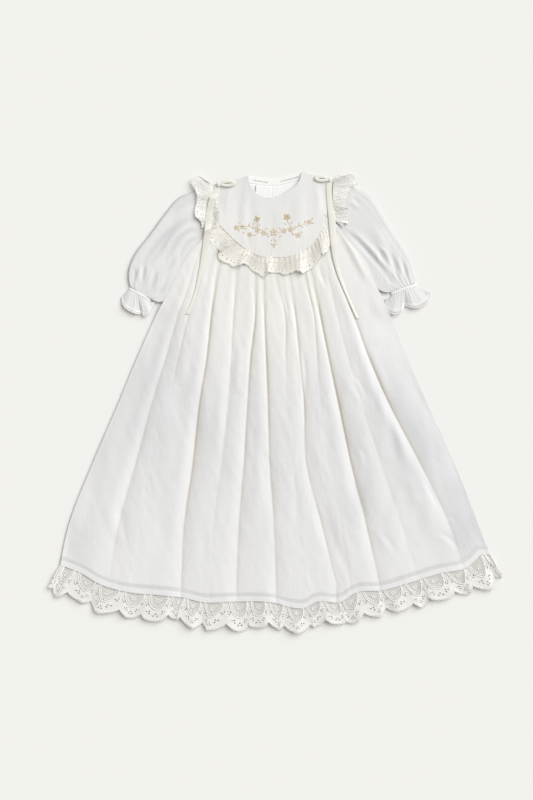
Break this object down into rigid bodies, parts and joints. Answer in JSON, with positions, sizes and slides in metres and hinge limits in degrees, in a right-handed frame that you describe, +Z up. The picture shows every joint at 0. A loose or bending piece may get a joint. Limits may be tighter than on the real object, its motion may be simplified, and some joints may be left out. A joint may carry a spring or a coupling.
{
  "type": "christening gown",
  "caption": "Long white christening gown laid flat: round yoke with embroidery and a cream lace frill, pleated skirt with lace hem, sheer sleeves and ribbon ties.",
  "frame": {"origin": "on the surface that the gown lies on, under the middle of its outline", "axes": "+Y from the hem to the neck, +X from the sleeve on the picture's left to the one on its right, +Z up from the surface"},
  "size_m": [0.7623, 0.7666, 0.0122],
  "materials": {
    "cotton": "fine plain-woven cotton batiste, soft and matt",
    "organza": "sheer crisp organza with a faint sheen",
    "lace_white": "white cotton lace on fine net, matt",
    "lace_cream": "cream cotton lace on dense net, matt",
    "satin": "cream satin ribbon with a soft gloss"
  },
  "bodies": {
    "root": {"back_hem_lace": "lace_white", "back_neck_band": "cotton", "back_placket": "cotton", "back_skirt": "cotton", "back_yoke": "cotton", "bow_knot_left": "satin", "bow_knot_right": "satin", "bow_loop_left": "satin", "bow_loop_right": "satin", "cuff_band_left": "organza", "cuff_band_right": "organza", "cuff_frill_left": "organza", "cuff_frill_right": "organza", "front_hem_band": "cotton", "front_hem_lace": "lace_white", "front_skirt": "cotton", "front_yoke": "cotton", "ribbon_tail_left": "satin", "ribbon_tail_right": "satin", "shoulder_lace_left": "lace_white", "shoulder_lace_right": "lace_white", "sleeve_left": "organza", "sleeve_right": "organza", "yoke_lace": "lace_cream"}
  },
  "joints": []
}
